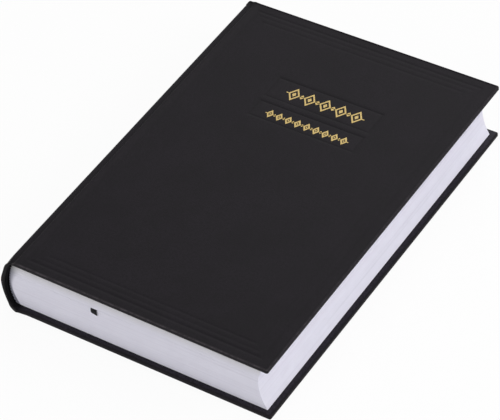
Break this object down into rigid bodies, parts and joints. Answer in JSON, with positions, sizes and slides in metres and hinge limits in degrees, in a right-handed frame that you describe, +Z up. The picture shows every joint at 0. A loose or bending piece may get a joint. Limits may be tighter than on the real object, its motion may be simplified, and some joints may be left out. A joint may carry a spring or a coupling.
{
  "type": "cash book",
  "caption": "Thick hardcover ledger with a rounded spine, two hinged covers, turning first leaves, sewn sections and a ribbon marker.",
  "frame": {"origin": "middle of the book's footprint on the table, under the back cover", "axes": "+X from the spine to the fore edge, +Y from the tail to the head, +Z up through the front cover"},
  "size_m": [0.1756, 0.251, 0.0392],
  "materials": {
    "leatherette": "black pebbled leatherette, semi-matt",
    "pages": "uncoated white ledger paper",
    "endpaper": "uncoated white paper",
    "board": "grey bookbinder's board",
    "card": "brown card and lining paper",
    "cotton": "unbleached cotton",
    "band": "black woven band",
    "ribbon": "black satin ribbon",
    "gold_foil": "hot-stamped gold foil"
  },
  "bodies": {
    "text_block": {"section_01": "pages", "section_02": "pages", "section_03": "pages", "section_04": "pages", "section_05": "pages", "section_06": "pages", "section_07": "pages", "section_08": "pages", "section_09": "pages", "section_10": "pages", "section_11": "pages", "section_12": "pages", "section_13": "pages", "section_14": "pages", "section_15": "pages", "section_16": "pages", "sewing_thread": "cotton", "sewing_tape_1": "cotton", "sewing_tape_2": "cotton", "sewing_tape_3": "cotton", "mull": "cotton", "spine_lining": "card", "head_band": "band", "tail_band": "band", "ribbon_marker": "ribbon", "spine_strip": "card", "spine_cloth": "leatherette", "front_hinge_strip": "endpaper", "back_hinge_strip": "endpaper"},
    "front_cover": {"front_board": "board", "front_cover_cloth": "leatherette", "front_pastedown": "endpaper", "title_ornament_upper": "gold_foil", "title_ornament_lower": "gold_foil"},
    "back_cover": {"back_board": "board", "back_cover_cloth": "leatherette", "back_pastedown": "endpaper"},
    "front_flyleaf": {"front_flyleaf": "endpaper"},
    "leaf_1": {"leaf_1": "pages"},
    "leaf_2": {"leaf_2": "pages"},
    "back_flyleaf": {"back_flyleaf": "endpaper"}
  },
  "joints": [
    {"name": "front_cover_hinge", "type": "hinge", "parent": "text_block", "child": "front_cover", "pos_m": [-0.0836, 0, 0.0365], "axis": [0, -1, 0], "range_deg": [0, 180]},
    {"name": "back_cover_hinge", "type": "hinge", "parent": "text_block", "child": "back_cover", "pos_m": [-0.0836, 0, 0.0027], "axis": [0, 1, 0], "range_deg": [0, 180]},
    {"name": "front_flyleaf_turn", "type": "hinge", "parent": "text_block", "child": "front_flyleaf", "pos_m": [-0.0773, 0, 0.0365], "axis": [0, -1, 0], "range_deg": [0, 176.4]},
    {"name": "leaf_1_turn", "type": "hinge", "parent": "text_block", "child": "leaf_1", "pos_m": [-0.0773, 0, 0.0365], "axis": [0, -1, 0], "range_deg": [0, 171]},
    {"name": "leaf_2_turn", "type": "hinge", "parent": "text_block", "child": "leaf_2", "pos_m": [-0.0773, 0, 0.0365], "axis": [0, -1, 0], "range_deg": [0, 165.6]},
    {"name": "back_flyleaf_turn", "type": "hinge", "parent": "text_block", "child": "back_flyleaf", "pos_m": [-0.0773, 0, 0.0027], "axis": [0, 1, 0], "range_deg": [0, 176.4]}
  ],
  "couplings": [
    {"joint": "front_flyleaf_turn", "follows": "front_cover_hinge", "ratio": 0.98},
    {"joint": "leaf_1_turn", "follows": "front_cover_hinge", "ratio": 0.95},
    {"joint": "leaf_2_turn", "follows": "front_cover_hinge", "ratio": 0.92},
    {"joint": "back_flyleaf_turn", "follows": "back_cover_hinge", "ratio": 0.98}
  ]
}
